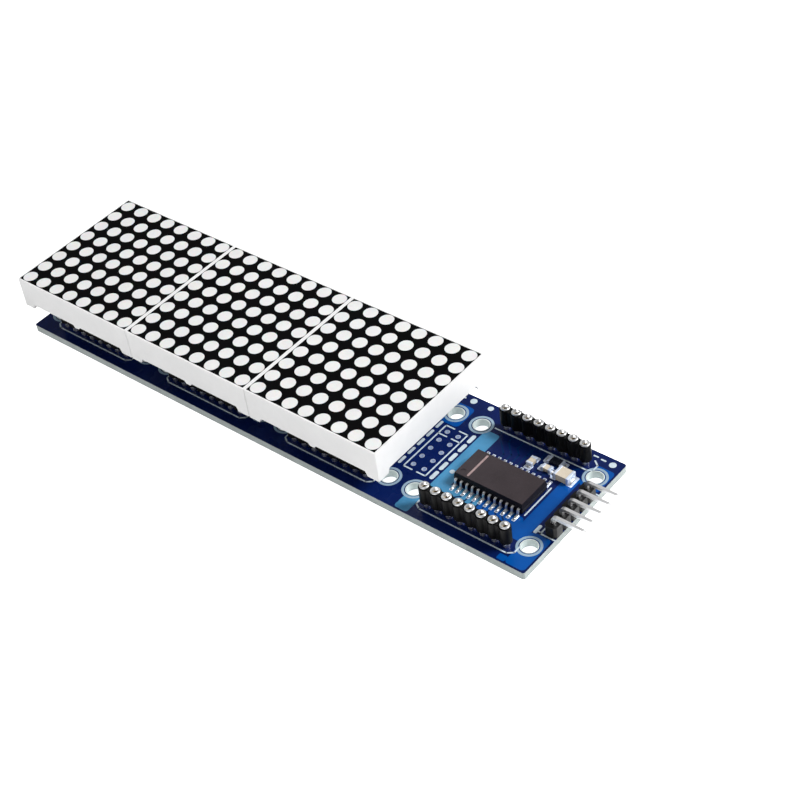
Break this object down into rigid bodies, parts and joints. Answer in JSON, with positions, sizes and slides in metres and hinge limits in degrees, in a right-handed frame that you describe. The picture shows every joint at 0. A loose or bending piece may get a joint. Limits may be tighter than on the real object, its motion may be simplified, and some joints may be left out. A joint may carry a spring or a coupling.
{
  "type": "led dot matrix module",
  "caption": "Long driver board with square plug-in dot displays side by side, one open display socket with its driver chip, and bent input pins at the end.",
  "frame": {"origin": "centre of the rectangle of the board's four corner mounting holes, on the board's underside", "axes": "+X along the row of displays towards the open position and the input header, +Z out of the lit faces, +Y across the board"},
  "size_m": [0.1332, 0.0318, 0.0151],
  "materials": {
    "board": "blue solder mask, glossy",
    "solder": "bright solder",
    "header_plastic": "satin black",
    "pin_metal": "tin plated",
    "socket_plastic": "glossy black",
    "contact_metal": "turned and tin plated",
    "clip_metal": "gold-plated spring clip",
    "chip_plastic": "fine matt grain",
    "capacitor": "satin ceramic",
    "resistor": "dark glaze",
    "shell_plastic": "satin white",
    "face_film": "satin black ink",
    "resin": "milky diffusing resin",
    "carrier_board": "bare glass-fibre laminate",
    "led_die": "polished crystal"
  },
  "bodies": {
    "root": {"driver_board": "board", "solder_joints": "solder", "header_housing": "header_plastic", "header_pins": "pin_metal", "front_socket_1": "socket_plastic", "front_contacts_1": "contact_metal", "back_socket_1": "socket_plastic", "back_contacts_1": "contact_metal", "contact_clips_1": "clip_metal", "driver_chip_1": "chip_plastic", "driver_leads_1": "pin_metal", "capacitors_1": "capacitor", "resistor_1": "resistor", "front_socket_2": "socket_plastic", "front_contacts_2": "contact_metal", "back_socket_2": "socket_plastic", "back_contacts_2": "contact_metal", "contact_clips_2": "clip_metal", "driver_chip_2": "chip_plastic", "driver_leads_2": "pin_metal", "capacitors_2": "capacitor", "resistor_2": "resistor", "front_socket_3": "socket_plastic", "front_contacts_3": "contact_metal", "back_socket_3": "socket_plastic", "back_contacts_3": "contact_metal", "contact_clips_3": "clip_metal", "driver_chip_3": "chip_plastic", "driver_leads_3": "pin_metal", "capacitors_3": "capacitor", "resistor_3": "resistor", "front_socket_4": "socket_plastic", "front_contacts_4": "contact_metal", "back_socket_4": "socket_plastic", "back_contacts_4": "contact_metal", "contact_clips_4": "clip_metal", "driver_chip_4": "chip_plastic", "driver_leads_4": "pin_metal", "capacitors_4": "capacitor", "resistor_4": "resistor", "display_shell_1": "shell_plastic", "display_face_1": "face_film", "display_resin_1": "resin", "display_carrier_1": "carrier_board", "display_leds_1": "led_die", "display_pins_1": "pin_metal", "display_shell_2": "shell_plastic", "display_face_2": "face_film", "display_resin_2": "resin", "display_carrier_2": "carrier_board", "display_leds_2": "led_die", "display_pins_2": "pin_metal", "display_shell_3": "shell_plastic", "display_face_3": "face_film", "display_resin_3": "resin", "display_carrier_3": "carrier_board", "display_leds_3": "led_die", "display_pins_3": "pin_metal"}
  },
  "joints": []
}
